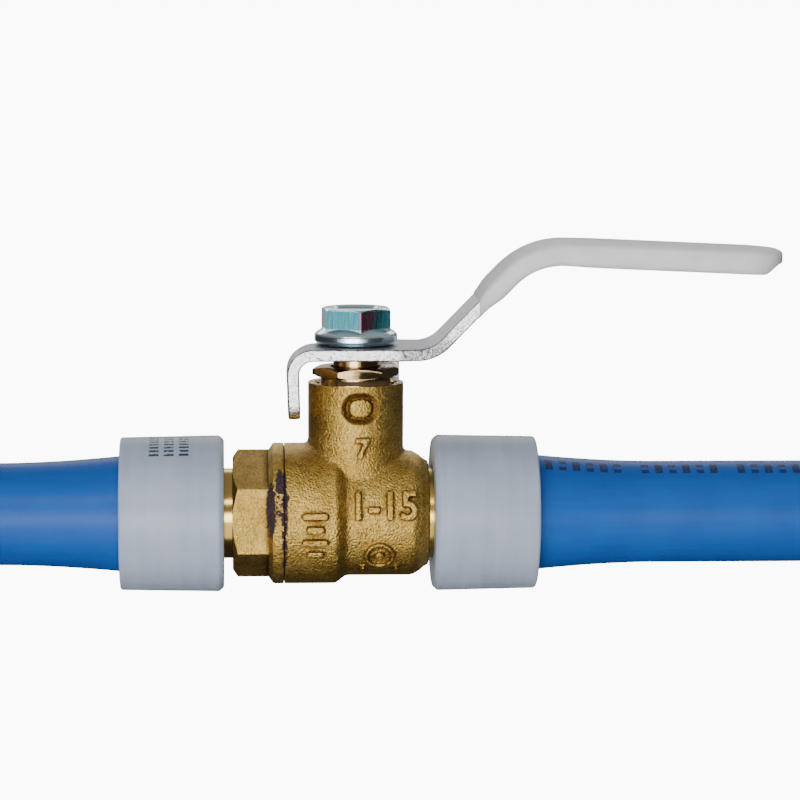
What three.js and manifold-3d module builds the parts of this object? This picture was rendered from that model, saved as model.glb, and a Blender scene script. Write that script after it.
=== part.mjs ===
// A quarter-turn ball valve between two lengths of expanded plastic tubing.
//
// Lengths are in millimetres. The origin is the centre of the ball. +X runs along
// the tubing on the side of the lever's grip, and +Z runs up the stem. The lever
// is drawn open, in line with the tubing, and closes clockwise seen from above.

import * as THREE from "three";
import { mergeVertices } from "three/addons/utils/BufferGeometryUtils.js";
import Module from "manifold-3d";

const wasm = await Module();
wasm.setup();

// ---- Driving dimensions ----

// Roundness of the turned solids, and the steps in each sheet bend and ball arc
const ROUND_SEGMENTS = 32;
const BEND_STEPS = 5;
const ARC_STEPS = 10;

// Clearances
const FACE_GAP = 0.1; // between faces that rest on each other
const SLIDE_GAP = 0.1; // between a bore and what turns or slides in it
const THREAD_GAP = 0.2; // between an inner and an outer thread
const KEY_GAP = 0.15; // between a flat and the slot or sheet around it
const STOP_GAP = 0.3; // between the lever and the stop lug at each end of its turn

// Tubing, of the nominal 1/2 in copper-tube size, and how far its flare reaches
const TUBE_RADIUS = 7.94;
const TUBE_WALL = 1.78;
const FLARE_LENGTH = 18;
const LEFT_TUBE_LENGTH = 38.4;
const RIGHT_TUBE_LENGTH = 59.9;

// Expansion rings
const RING_LENGTH = 16.1;
const RING_WALL = 3.1;
const RING_TAPER = 0.3;
const RING_EDGE = 1.5;
const RING_RIM_EDGE = 0.4;
const RING_LIP = 1.0;
const LEFT_RING_GAP = 1.3; // from the retainer to its ring
const RIGHT_RING_GAP = 0.7; // from the body to its ring

// Barbs
const PORT_RADIUS = 4.75;
const BARB_RADIUS = 7.0;
const BARB_LENGTH = 16.3;
const BARB_RIDGE = 0.35;
const BARB_RIDGES = 3;
const BARB_RIDGE_LENGTH = 2.6;
const BARB_LEAD_IN = 0.8;

// Ball and seats
const BALL_RADIUS = 7.75;
const SLOT_WIDTH = 3.2;
const SLOT_DEPTH = 2.1;
const SEAT_FACE_ANGLE = THREE.MathUtils.degToRad(52);
const SEAT_LAND = 1.3;
const SEAT_BACKING = 1.6;
const SEAT_POCKET_DEPTH = 2.1;

// Body casting
const CHAMBER_GAP = 0.45;
const HUB_WALL = 1.55;
const BARREL_WALL = 1.9;
const BARREL_LENGTH = 8;
const BARREL_SLOPE = 1.5;
const SOCKET_DEPTH = 5.65;
const SOCKET_LAND = 0.35; // from the stem collar's pocket to the socket's floor
const HUB_BACKING = 1;
const HUB_END_LENGTH = 2.5;
const BODY_SEAL_THICKNESS = 0.8;
const SHELF_THICKNESS = 1.5;
const NECK_WALL = 1.28;
const NECK_THREAD_DEPTH = 4.55;

// End retainer
const SPIGOT_WALL = 1.35;
const RETAINER_FLATS = 17.4;
const RETAINER_HEX_LENGTH = 5.55;
const RETAINER_CHAMFER = 0.86;
const COLLAR_SLOPE = 0.8;
const COLLAR_LENGTH = 1.6;

// Stem, washer and packing
const STEM_RADIUS = 3.5;
const STEM_COLLAR_WALL = 1.4;
const STEM_COLLAR_HEIGHT = 1.55;
const STEM_LIFT = 0.2; // from the top of the ball to the stem's collar
const TANG_WIDTH = 6.8;
const STEM_TOP_RADIUS = 3.0;
const STEM_TOP_FLATS = 4.4;
const THRUST_WASHER_THICKNESS = 0.5;
const PACKING_WALL = 1.4;
const PACKING_HEIGHT = 1.9;

// Packing nut
const SKIRT_LENGTH = 0.5;
const SHANK_WALL = 2.35;
const PACKING_NUT_FLATS = 11.8;
const PACKING_NUT_HEX_HEIGHT = 1.55;
const PACKING_NUT_STANDOFF = 0.86;
const PACKING_NUT_TURN = THREE.MathUtils.degToRad(-86);
const NUT_CHAMFER = 0.45;

// Lever
const SHEET = 1.85;
const LEVER_STANDOFF = 1.54;
const LEVER_WIDTH = 16.5;
const ARM_WIDTH = 12.8;
const ARM_CORNER = 4.9;
const SHOULDER_START = 6.5;
const SHOULDER_END = 15;
const RISE_START = 11.9;
const RISE_ANGLE = THREE.MathUtils.degToRad(45.7);
const RISE_HEIGHT = 15.55;
const RISE_BEND = 6;
const CREST_BEND = 12;
const ARM_REACH = 37.8;
const ARM_ANGLE = THREE.MathUtils.degToRad(-2.46);
const TAIL_DROP = 10.1;
const TAIL_LEAN = 0.35;
const TAIL_BEND = 3;
const TAIL_CLEARANCE = 1.72;
const TAIL_EDGE = -0.1;
const TAIL_CUT_END = -1.5;
const EAR_WIDTH = 4.3;
const EAR_DROP = 7.1;
const EAR_CLEARANCE = 0.87;
const EAR_ROOT = 2.2;
const LUG_WIDTH = 2.4;
const LUG_HEIGHT = 5.3;
const LUG_REACH = 3.35;
const LUG_ROOT = 0.8;
const LUG_DROP = 0.85;

// Grip
const GRIP_MOUTH_X = 18.7; // the level that the vinyl was dipped to
const GRIP_WALL = 0.95;
const GRIP_SIDE_WALL = 1.1;
const GRIP_END_WALL = 1.5;

// Handle nut
const HANDLE_NUT_FLATS = 10;
const HANDLE_NUT_HEIGHT = 5.7;
const HANDLE_NUT_TURN = THREE.MathUtils.degToRad(246);
const FLANGE_RADIUS = 6.45;
const FLANGE_RIM = 1.7;
const FLANGE_HEIGHT = 2.6;
const STEM_TOP_RECESS = 0.3;

// ---- Derived dimensions ----

// Around the stem
const stemHole = STEM_RADIUS + SLIDE_GAP;
const stemCollarRadius = STEM_RADIUS + STEM_COLLAR_WALL;
const collarPocket = stemCollarRadius + THREAD_GAP;
const packingBore = STEM_RADIUS + SLIDE_GAP / 2;
const packingRadius = packingBore + PACKING_WALL;
const packingChamber = packingRadius + SLIDE_GAP / 2;
const skirtRadius = packingChamber - SLIDE_GAP;
const shankRadius = stemHole + SHANK_WALL;
const neckThreadRadius = shankRadius + THREAD_GAP;
const neckRadius = neckThreadRadius + NECK_WALL;

// Along X, measured out from the ball's centre
const ballFaceX = Math.sqrt(BALL_RADIUS ** 2 - PORT_RADIUS ** 2);
const seatSphere = BALL_RADIUS + SLIDE_GAP;
const seatBore = PORT_RADIUS + SLIDE_GAP;
const seatFrontX = seatSphere * Math.cos(SEAT_FACE_ANGLE);
const seatBackX = ballFaceX + SEAT_BACKING;
const seatRadius = seatSphere * Math.sin(SEAT_FACE_ANGLE) + SEAT_LAND;
const pocketRadius = seatRadius + SLIDE_GAP / 2;
const pocketBackX = seatBackX + SLIDE_GAP / 2;
const pocketMouthX = seatBackX - SEAT_POCKET_DEPTH;

const chamberRadius = BALL_RADIUS + CHAMBER_GAP;
const spigotRadius = pocketRadius + SPIGOT_WALL;
const socketRadius = spigotRadius + THREAD_GAP;
const hubRadius = chamberRadius + HUB_WALL;
const barrelRadius = socketRadius + BARREL_WALL;
const socketFloorX = -(collarPocket + SOCKET_LAND);
const bodySealX = socketFloorX - FACE_GAP - BODY_SEAL_THICKNESS;
const spigotEndX = bodySealX - FACE_GAP;
const barrelStartX = socketFloorX - SOCKET_DEPTH;
const barrelEndX = barrelStartX + BARREL_LENGTH;
const hubEndX = seatBackX + HUB_BACKING;
const bodyEndX = hubEndX + HUB_END_LENGTH;

const collarEndX = barrelStartX - FACE_GAP;
const hexEndX = collarEndX - COLLAR_LENGTH - COLLAR_SLOPE;
const retainerFaceX = hexEndX - RETAINER_HEX_LENGTH;

// The tube's section keeps its area as it is stretched over the barb.
const tubeBore = TUBE_RADIUS - TUBE_WALL;
const stretchedBore = BARB_RADIUS + BARB_RIDGE + SLIDE_GAP;
const stretchedRadius = Math.sqrt(stretchedBore ** 2 + TUBE_RADIUS ** 2 - tubeBore ** 2);
const ringBore = stretchedRadius + SLIDE_GAP;
const ringRadius = ringBore + RING_WALL;
const lipRadius = BARB_RADIUS + THREAD_GAP;

// Up Z, from the ball to the top of the stem
const slotFloorZ = BALL_RADIUS - SLOT_DEPTH;
const collarBottomZ = BALL_RADIUS + STEM_LIFT;
const collarTopZ = collarBottomZ + STEM_COLLAR_HEIGHT;
const washerBottomZ = collarTopZ + FACE_GAP;
const shelfBottomZ = washerBottomZ + THRUST_WASHER_THICKNESS + FACE_GAP;
const shelfTopZ = shelfBottomZ + SHELF_THICKNESS;
const packingZ = [shelfTopZ + FACE_GAP, shelfTopZ + 2 * FACE_GAP + PACKING_HEIGHT];
const skirtBottomZ = packingZ[1] + PACKING_HEIGHT + FACE_GAP;
const neckThreadZ = skirtBottomZ + SKIRT_LENGTH / 2;
const shankBottomZ = skirtBottomZ + SKIRT_LENGTH;
const neckTopZ = neckThreadZ + NECK_THREAD_DEPTH;
const packingNutZ = neckTopZ + PACKING_NUT_STANDOFF;
const leverBottomZ = packingNutZ + PACKING_NUT_HEX_HEIGHT + LEVER_STANDOFF;
const leverTopZ = leverBottomZ + SHEET;
const leverMidZ = leverBottomZ + SHEET / 2;
const handleNutZ = leverTopZ + FACE_GAP;
const handleNutTopZ = handleNutZ + HANDLE_NUT_HEIGHT;
const stemTopZ = handleNutTopZ - STEM_TOP_RECESS;

// The stop lug stands between the lever's tail, once closed, and its ear.
const lugStartX = TAIL_EDGE + STOP_GAP;
const lugEndX = lugStartX + LUG_WIDTH;
const earStartX = lugEndX + STOP_GAP;
const tailX = -(neckRadius + TAIL_CLEARANCE + SHEET / 2);
const crestX = RISE_START + RISE_HEIGHT / Math.tan(RISE_ANGLE);
const crest = new THREE.Vector2(crestX, leverMidZ + RISE_HEIGHT);
const riseFoot = new THREE.Vector2(RISE_START, leverMidZ);

// ---- Materials ----

const finish = (color, roughness, metalness) =>
  new THREE.MeshStandardMaterial({ color, roughness, metalness });
const castBrass = finish(0xa58750, 0.5, 1);
const machinedBrass = finish(0xd9b566, 0.25, 1);
const chromedBrass = finish(0xd5d3c8, 0.12, 1);
const zincSteel = finish(0xb9bbc0, 0.35, 1);
const blueZincSteel = finish(0x9fc0cc, 0.25, 1);
const ringPlastic = finish(0xb0bac6, 0.45, 0);
const tubePlastic = finish(0x1f66b4, 0.3, 0);
const gripVinyl = finish(0xcfd0d0, 0.4, 0);
const seatPlastic = finish(0xf2f1ea, 0.5, 0);
const sealRubber = finish(0x22211f, 0.7, 0);

// ---- Solids ----

// Six times the volume that the triangles enclose, negative if they face inwards.
function signedVolume(positions, triangles) {
  const corner = [0, 1, 2].map(() => new THREE.Vector3());
  let sum = 0;
  for (let i = 0; i < triangles.length; i += 3) {
    corner.forEach((point, k) => point.fromArray(positions, 3 * triangles[i + k]));
    sum += corner[0].dot(corner[1].cross(corner[2]));
  }
  return sum;
}

// A closed geometry as a solid that joins and cuts with others.
function solidOf(geometry) {
  geometry.deleteAttribute("normal");
  geometry.deleteAttribute("uv");
  const merged = mergeVertices(geometry);
  const vertProperties = new Float32Array(merged.attributes.position.array);
  const triVerts = new Uint32Array(merged.index.array);
  if (signedVolume(vertProperties, triVerts) < 0) {
    triVerts.reverse();
  }
  return new wasm.Manifold(new wasm.Mesh({ numProp: 3, vertProperties, triVerts }));
}

function meshOf(name, solid, material) {
  const { vertProperties, triVerts } = solid.getMesh();
  const geometry = new THREE.BufferGeometry();
  geometry.setAttribute("position", new THREE.BufferAttribute(vertProperties, 3));
  geometry.setIndex(new THREE.BufferAttribute(triVerts, 1));
  const mesh = new THREE.Mesh(geometry, material);
  mesh.name = name;
  return mesh;
}

// A profile of [place along the axis, radius] corners, closed on itself and turned.
function turned(profile) {
  const closed = [...profile, profile[0]];
  const points = closed.map(([along, radius]) => new THREE.Vector2(radius, along));
  return new THREE.LatheGeometry(points, ROUND_SEGMENTS);
}
const turnedAlongX = (profile) => solidOf(turned(profile).rotateZ(-Math.PI / 2));
const turnedAlongZ = (profile) => solidOf(turned(profile).rotateX(Math.PI / 2));

// A tube or, with no inner radius, a rod.
function sleeve(from, to, outer, inner = 0) {
  return [[from, inner], [from, outer], [to, outer], [to, inner]];
}
const sleeveAlongX = (...sizes) => turnedAlongX(sleeve(...sizes));
const sleeveAlongZ = (...sizes) => turnedAlongZ(sleeve(...sizes));

const mirrored = (profile) => profile.map(([along, radius]) => [-along, radius]);

function box(fromX, toX, fromY, toY, fromZ, toZ) {
  const geometry = new THREE.BoxGeometry(toX - fromX, toY - fromY, toZ - fromZ);
  geometry.translate((fromX + toX) / 2, (fromY + toY) / 2, (fromZ + toZ) / 2);
  return solidOf(geometry);
}

// A hexagonal bar up Z. Its turn is the direction that one flat faces.
function hexAlongZ(flats, from, to, turn = 0) {
  const cornerRadius = flats / Math.sqrt(3);
  const geometry = new THREE.CylinderGeometry(cornerRadius, cornerRadius, to - from, 6);
  geometry.rotateX(Math.PI / 2);
  geometry.rotateZ(turn);
  geometry.translate(0, 0, (from + to) / 2);
  return solidOf(geometry);
}

// A flat outline in X and Y, raised from one height to another.
function raised(outline, from, to) {
  const shape = new THREE.Shape(outline);
  const geometry = new THREE.ExtrudeGeometry(shape, { depth: to - from, bevelEnabled: false });
  return solidOf(geometry.translate(0, 0, from));
}

// A flat outline in X and Z, given a width across Y.
function across(outline, width) {
  const shape = new THREE.Shape(outline);
  const geometry = new THREE.ExtrudeGeometry(shape, { depth: width, bevelEnabled: false });
  return solidOf(geometry.rotateX(Math.PI / 2).translate(0, width / 2, 0));
}

// The edge of a sheet whose middle follows straight stretches with rounded corners.
function sheetOutline(corners, bends, thickness) {
  const left = [];
  const right = [];
  const addPair = (point, normal) => {
    left.push(point.clone().addScaledVector(normal, thickness / 2));
    right.unshift(point.clone().addScaledVector(normal, -thickness / 2));
  };
  const directions = bends
    .concat(0)
    .map((_, i) => corners[i + 1].clone().sub(corners[i]).normalize());
  const normals = directions.map(({ x, y }) => new THREE.Vector2(-y, x));
  const centre = new THREE.Vector2();
  addPair(corners[0], normals[0]);
  bends.forEach((radius, i) => {
    const turn = Math.atan2(
      directions[i].cross(directions[i + 1]),
      directions[i].dot(directions[i + 1]),
    );
    const signedRadius = Math.sign(turn) * radius;
    const setback = radius * Math.tan(Math.abs(turn) / 2);
    const start = corners[i + 1].clone().addScaledVector(directions[i], -setback);
    centre.copy(start).addScaledVector(normals[i], signedRadius);
    for (let step = 0; step <= BEND_STEPS; step += 1) {
      const angle = (turn * step) / BEND_STEPS;
      const normal = normals[i].clone().rotateAround(new THREE.Vector2(), angle);
      addPair(centre.clone().addScaledVector(normal, -signedRadius), normal);
    }
  });
  addPair(corners.at(-1), normals.at(-1));
  return [...left, ...right];
}

// ---- Waterway: body, retainer, ball, seats ----

// A barb's outer profile from its root outwards, with ridges that face the root.
function barbProfile(root) {
  const end = root + BARB_LENGTH;
  const profile = [[root, BARB_RADIUS]];
  const pitch = (BARB_LENGTH - BARB_LEAD_IN) / (BARB_RIDGES + 1);
  for (let ridge = 1; ridge <= BARB_RIDGES; ridge += 1) {
    const start = root + ridge * pitch;
    profile.push([start, BARB_RADIUS]);
    profile.push([start, BARB_RADIUS + BARB_RIDGE]);
    profile.push([start + BARB_RIDGE_LENGTH, BARB_RADIUS]);
  }
  profile.push([end - BARB_LEAD_IN, BARB_RADIUS]);
  profile.push([end, BARB_RADIUS - BARB_LEAD_IN / 2]);
  return profile;
}

function bodyShell() {
  const outside = turnedAlongX([
    [barrelStartX, 0],
    [barrelStartX, barrelRadius],
    [barrelEndX, barrelRadius],
    [barrelEndX + BARREL_SLOPE, hubRadius],
    [hubEndX, hubRadius],
    [bodyEndX - HUB_END_LENGTH / 4, (hubRadius + BARB_RADIUS) / 2],
    ...barbProfile(bodyEndX),
    [bodyEndX + BARB_LENGTH, 0],
  ]);
  const neck = sleeveAlongZ(0, neckTopZ, neckRadius);
  const lugTopZ = neckTopZ - LUG_DROP;
  const lug = box(
    lugStartX,
    lugEndX,
    neckRadius - LUG_ROOT,
    neckRadius + LUG_REACH,
    lugTopZ - LUG_HEIGHT,
    lugTopZ,
  );
  return outside.add(neck).add(lug);
}

function valveBody() {
  const waterway = turnedAlongX([
    [barrelStartX - 1, 0],
    [barrelStartX - 1, socketRadius],
    [socketFloorX, socketRadius],
    [socketFloorX, chamberRadius],
    [pocketMouthX, chamberRadius],
    [pocketMouthX, pocketRadius],
    [pocketBackX, pocketRadius],
    [pocketBackX, PORT_RADIUS],
    [bodyEndX + BARB_LENGTH + 1, PORT_RADIUS],
    [bodyEndX + BARB_LENGTH + 1, 0],
  ]);
  const stemWay = turnedAlongZ([
    [0, 0],
    [0, collarPocket],
    [shelfBottomZ, collarPocket],
    [shelfBottomZ, stemHole],
    [shelfTopZ, stemHole],
    [shelfTopZ, packingChamber],
    [neckThreadZ, packingChamber],
    [neckThreadZ, neckThreadRadius],
    [neckTopZ + 1, neckThreadRadius],
    [neckTopZ + 1, 0],
  ]);
  return meshOf("valve_body", bodyShell().subtract(waterway).subtract(stemWay), castBrass);
}

function endRetainer() {
  const shell = turnedAlongX([
    ...mirrored(barbProfile(-retainerFaceX)).reverse(),
    [retainerFaceX, RETAINER_FLATS / 2 - RETAINER_CHAMFER],
    [hexEndX, RETAINER_FLATS / 2 - RETAINER_CHAMFER],
    [hexEndX, RETAINER_FLATS / Math.sqrt(3)],
    [hexEndX + COLLAR_SLOPE, barrelRadius],
    [collarEndX, barrelRadius],
    [collarEndX, spigotRadius],
    [spigotEndX, spigotRadius],
    [spigotEndX, pocketRadius],
    [-pocketBackX, pocketRadius],
    [-pocketBackX, PORT_RADIUS],
    [retainerFaceX - BARB_LENGTH, PORT_RADIUS],
  ]);
  const hexCorner = RETAINER_FLATS / Math.sqrt(3);
  const chamfer = turnedAlongX([
    [retainerFaceX, PORT_RADIUS + 1],
    [retainerFaceX, RETAINER_FLATS / 2],
    [retainerFaceX + RETAINER_CHAMFER, hexCorner],
    [hexEndX + COLLAR_SLOPE / 2, hexCorner],
    [hexEndX + COLLAR_SLOPE / 2, PORT_RADIUS + 1],
  ]);
  const hex = hexAlongZ(RETAINER_FLATS, retainerFaceX, hexEndX + COLLAR_SLOPE / 2, Math.PI / 2);
  const hexAlongX = hex.rotate([0, 90, 0]);
  return meshOf("end_retainer", shell.add(hexAlongX.intersect(chamfer)), castBrass);
}

function ball() {
  const profile = [];
  const faceAngle = Math.asin(PORT_RADIUS / BALL_RADIUS);
  for (let step = 0; step <= ARC_STEPS; step += 1) {
    const angle = faceAngle + ((Math.PI - 2 * faceAngle) * step) / ARC_STEPS;
    profile.push([BALL_RADIUS * Math.cos(angle), BALL_RADIUS * Math.sin(angle)]);
  }
  const halfSlot = SLOT_WIDTH / 2;
  const slot = box(-halfSlot, halfSlot, -BALL_RADIUS, BALL_RADIUS, slotFloorZ, BALL_RADIUS + 1);
  return meshOf("ball", turnedAlongX(profile).subtract(slot), chromedBrass);
}

// The seat's profile on the +X side. Its face is part of a sphere just off the ball.
function seatProfile() {
  const profile = [];
  const startAngle = Math.asin(seatBore / seatSphere);
  for (let step = 0; step <= BEND_STEPS; step += 1) {
    const angle = startAngle + ((SEAT_FACE_ANGLE - startAngle) * step) / BEND_STEPS;
    profile.push([seatSphere * Math.cos(angle), seatSphere * Math.sin(angle)]);
  }
  return [...profile, [seatFrontX, seatRadius], [seatBackX, seatRadius], [seatBackX, seatBore]];
}

function seats() {
  return [
    meshOf("seat_left", turnedAlongX(mirrored(seatProfile())), seatPlastic),
    meshOf("seat_right", turnedAlongX(seatProfile()), seatPlastic),
  ];
}

function bodySeal() {
  const ring = sleeveAlongX(
    bodySealX,
    bodySealX + BODY_SEAL_THICKNESS,
    socketRadius - SLIDE_GAP,
    chamberRadius + SLIDE_GAP,
  );
  return meshOf("body_seal", ring, sealRubber);
}

// ---- Stem and packing ----

function stem() {
  const shaftTopZ = leverBottomZ - FACE_GAP;
  const shaft = turnedAlongZ([
    [collarBottomZ, 0],
    [collarBottomZ, stemCollarRadius],
    [collarTopZ, stemCollarRadius],
    [collarTopZ, STEM_RADIUS],
    [shaftTopZ, STEM_RADIUS],
    [shaftTopZ, STEM_TOP_RADIUS],
    [stemTopZ, STEM_TOP_RADIUS],
    [stemTopZ, 0],
  ]);
  const halfTang = SLOT_WIDTH / 2 - KEY_GAP;
  const halfWidth = TANG_WIDTH / 2;
  const tangTopZ = collarBottomZ + STEM_COLLAR_HEIGHT / 2;
  const tang = box(-halfTang, halfTang, -halfWidth, halfWidth, slotFloorZ + KEY_GAP, tangTopZ);
  const outer = 2 * STEM_TOP_RADIUS;
  const halfFlats = STEM_TOP_FLATS / 2;
  const frontFlat = box(-outer, outer, -outer, -halfFlats, shaftTopZ, stemTopZ + 1);
  const backFlat = box(-outer, outer, halfFlats, outer, shaftTopZ, stemTopZ + 1);
  const whole = shaft.add(tang).subtract(frontFlat).subtract(backFlat);
  return meshOf("stem", whole, machinedBrass);
}

function stemRings() {
  const washerTopZ = washerBottomZ + THRUST_WASHER_THICKNESS;
  const washer = sleeveAlongZ(washerBottomZ, washerTopZ, stemCollarRadius, packingBore);
  const packing = packingZ.map((z) =>
    sleeveAlongZ(z, z + PACKING_HEIGHT, packingRadius, packingBore),
  );
  return [
    meshOf("stem_thrust_washer", washer, seatPlastic),
    meshOf("stem_packing_lower", packing[0], seatPlastic),
    meshOf("stem_packing_upper", packing[1], seatPlastic),
  ];
}

// A hexagon's corners cut back at the given ends, as on a turned nut.
function chamferedHex(flats, from, to, turn, cutBottom, cutTop) {
  const corner = flats / Math.sqrt(3);
  const bottom = cutBottom ? [[from, flats / 2], [from + NUT_CHAMFER, corner]] : [[from, corner]];
  const top = cutTop ? [[to - NUT_CHAMFER, corner], [to, flats / 2]] : [[to, corner]];
  const envelope = turnedAlongZ([[from, 0], ...bottom, ...top, [to, 0]]);
  return hexAlongZ(flats, from, to, turn).intersect(envelope);
}

function packingNut() {
  const topZ = packingNutZ + PACKING_NUT_HEX_HEIGHT;
  const hex = chamferedHex(PACKING_NUT_FLATS, packingNutZ, topZ, PACKING_NUT_TURN, true, true);
  const shank = turnedAlongZ([
    [skirtBottomZ, 0],
    [skirtBottomZ, skirtRadius],
    [shankBottomZ, skirtRadius],
    [shankBottomZ, shankRadius],
    [packingNutZ + PACKING_NUT_HEX_HEIGHT / 2, shankRadius],
    [packingNutZ + PACKING_NUT_HEX_HEIGHT / 2, 0],
  ]);
  const bore = sleeveAlongZ(skirtBottomZ - 1, topZ + 1, stemHole);
  return meshOf("packing_nut", hex.add(shank).subtract(bore), machinedBrass);
}

// ---- Lever, grip and nut ----

// The lever's middle line in X and Z: tail, plate, rise and arm.
function leverLine() {
  const tip = new THREE.Vector2(ARM_REACH, ARM_REACH * Math.tan(ARM_ANGLE)).add(crest);
  return [
    new THREE.Vector2(tailX + TAIL_LEAN, leverMidZ - TAIL_DROP),
    new THREE.Vector2(tailX, leverMidZ),
    riseFoot,
    crest,
    tip,
  ];
}

// The far end of a strip seen from above: straight, with its two corners rounded.
function roundedEnd(farX, width, corner) {
  const side = width / 2 - corner;
  const turns = [...Array(BEND_STEPS + 1).keys()].map((step) => (Math.PI * step) / 2 / BEND_STEPS);
  const near = turns.map((turn) => [corner * Math.sin(turn), -side - corner * Math.cos(turn)]);
  const far = turns.map((turn) => [corner * Math.cos(turn), side + corner * Math.sin(turn)]);
  return [...near, ...far].map(([x, y]) => [farX - corner + x, y]);
}

const planOf = (corners) => corners.map(([x, y]) => new THREE.Vector2(x, y));

// Seen from above: a wide plate with one back corner cut off, and a narrower arm.
function leverPlan() {
  const plate = LEVER_WIDTH / 2;
  const arm = ARM_WIDTH / 2;
  const farLeft = tailX - SHEET;
  return planOf([
    [farLeft, -plate],
    [SHOULDER_START, -plate],
    [SHOULDER_END, -arm],
    ...roundedEnd(crestX + ARM_REACH, ARM_WIDTH, ARM_CORNER),
    [SHOULDER_END, arm],
    [SHOULDER_START, plate],
    [TAIL_CUT_END, plate],
    [tailX + SHEET / 2, TAIL_EDGE],
    [farLeft, TAIL_EDGE],
  ]);
}

// A tab on the back edge, bent down beside the neck.
function leverEar() {
  const innerY = neckRadius + EAR_CLEARANCE;
  const outerY = innerY + SHEET;
  const earEndX = earStartX + EAR_WIDTH;
  const rootY = LEVER_WIDTH / 2 - EAR_ROOT;
  const root = box(earStartX, earEndX, rootY, outerY, leverBottomZ, leverTopZ);
  const tab = box(earStartX, earEndX, innerY, outerY, leverBottomZ - EAR_DROP, leverTopZ);
  return root.add(tab);
}

// The stem's two-flat top, grown by a gap all round.
function stemKeyhole() {
  const round = STEM_TOP_RADIUS + KEY_GAP;
  const flat = STEM_TOP_FLATS / 2 + KEY_GAP;
  const rod = sleeveAlongZ(leverBottomZ - 1, leverTopZ + 1, round);
  return rod.intersect(box(-round, round, -flat, flat, leverBottomZ - 2, leverTopZ + 2));
}

function lever() {
  const bends = [TAIL_BEND, RISE_BEND, CREST_BEND];
  const highZ = leverTopZ + 2 * RISE_HEIGHT;
  const lowZ = leverBottomZ - 2 * TAIL_DROP;
  const strip = across(sheetOutline(leverLine(), bends, SHEET), 2 * LEVER_WIDTH);
  const sheet = strip.intersect(raised(leverPlan(), lowZ, highZ));
  return meshOf("lever", sheet.add(leverEar()).subtract(stemKeyhole()), zincSteel);
}

// The middle line of a sleeve on the arm, from a point on the rise to past the tip.
function gripLine(start, pastTip) {
  const tip = leverLine().at(-1);
  const along = tip.clone().sub(crest).normalize();
  const rise = crest.clone().sub(riseFoot).normalize();
  const foot = riseFoot.clone().addScaledVector(rise, start);
  return [foot, crest, tip.clone().addScaledVector(along, pastTip)];
}

// The arm grown by a wall below and above, at its sides, and past its tip.
function armGrown(start, wall, sideWall, endWall) {
  const line = gripLine(start, endWall);
  const width = ARM_WIDTH + 2 * sideWall;
  const strip = across(sheetOutline(line, [CREST_BEND], SHEET + 2 * wall), 2 * width);
  const plan = planOf([
    [0, -width / 2],
    ...roundedEnd(line.at(-1).x, width, ARM_CORNER + sideWall),
    [0, width / 2],
  ]);
  return strip.intersect(raised(plan, 0, leverTopZ + 2 * RISE_HEIGHT));
}

function leverGrip() {
  const outside = armGrown(0, GRIP_WALL, GRIP_SIDE_WALL, GRIP_END_WALL);
  const inside = armGrown(-SHEET, KEY_GAP, KEY_GAP, KEY_GAP);
  const reach = 2 * (Math.abs(crest.x) + ARM_REACH);
  const undipped = box(-reach, GRIP_MOUTH_X, -reach, reach, -reach, reach);
  return meshOf("lever_grip", outside.subtract(inside).subtract(undipped), gripVinyl);
}

function handleNut() {
  const hexZ = handleNutZ + FLANGE_HEIGHT / 2;
  const hex = chamferedHex(HANDLE_NUT_FLATS, hexZ, handleNutTopZ, HANDLE_NUT_TURN, false, true);
  const flange = turnedAlongZ([
    [handleNutZ, 0],
    [handleNutZ, FLANGE_RADIUS],
    [handleNutZ + FLANGE_RIM, FLANGE_RADIUS],
    [handleNutZ + FLANGE_HEIGHT, HANDLE_NUT_FLATS / 2],
    [handleNutZ + FLANGE_HEIGHT, 0],
  ]);
  const bore = sleeveAlongZ(handleNutZ - 1, handleNutTopZ + 1, STEM_TOP_RADIUS + KEY_GAP);
  return meshOf("handle_nut", hex.add(flange).subtract(bore), blueZincSteel);
}

// ---- Tubing and expansion rings ----

// On the +X side: from the ring's lipped end, round its rim, to its plain end.
function ringProfile(start) {
  const end = start + RING_LENGTH;
  const outer = ringRadius - RING_TAPER;
  return [
    [start, lipRadius],
    [start, ringRadius - 2 * RING_EDGE],
    [start + RING_EDGE / 4, ringRadius - RING_EDGE / 2],
    [start + RING_EDGE, ringRadius],
    [end - RING_RIM_EDGE, outer],
    [end, outer - RING_RIM_EDGE],
    [end, ringBore],
    [start + RING_LIP, ringBore],
    [start + RING_LIP, lipRadius],
  ];
}

// On the +X side: the stretch over the barb, then a flare that dies away.
function tubeProfile(start, barbEnd, ringEnd, length) {
  const end = start + length;
  const outside = [[start, stretchedRadius]];
  const inside = [[start, stretchedBore]];
  const addFlare = (points, from, wide, narrow) => {
    for (let step = 0; step <= BEND_STEPS; step += 1) {
      const share = step / BEND_STEPS;
      const radius = narrow + (wide - narrow) * (1 - share) ** 1.7;
      points.push([from + share * FLARE_LENGTH, radius]);
    }
  };
  addFlare(outside, ringEnd, stretchedRadius, TUBE_RADIUS);
  addFlare(inside, barbEnd, stretchedBore, tubeBore);
  return [...outside, [end, TUBE_RADIUS], [end, tubeBore], ...inside.reverse()];
}

// One tubing joint, drawn on the +X side: an expansion ring and the tube in it.
function jointProfiles(rootX, ringGap, tubeLength) {
  const ringStart = rootX + ringGap;
  const tubeStart = ringStart + RING_LIP + FACE_GAP;
  const ringEnd = ringStart + RING_LENGTH;
  const barbEnd = rootX + BARB_LENGTH;
  return {
    ring: ringProfile(ringStart),
    tube: tubeProfile(tubeStart, barbEnd, ringEnd, tubeLength),
  };
}

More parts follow.
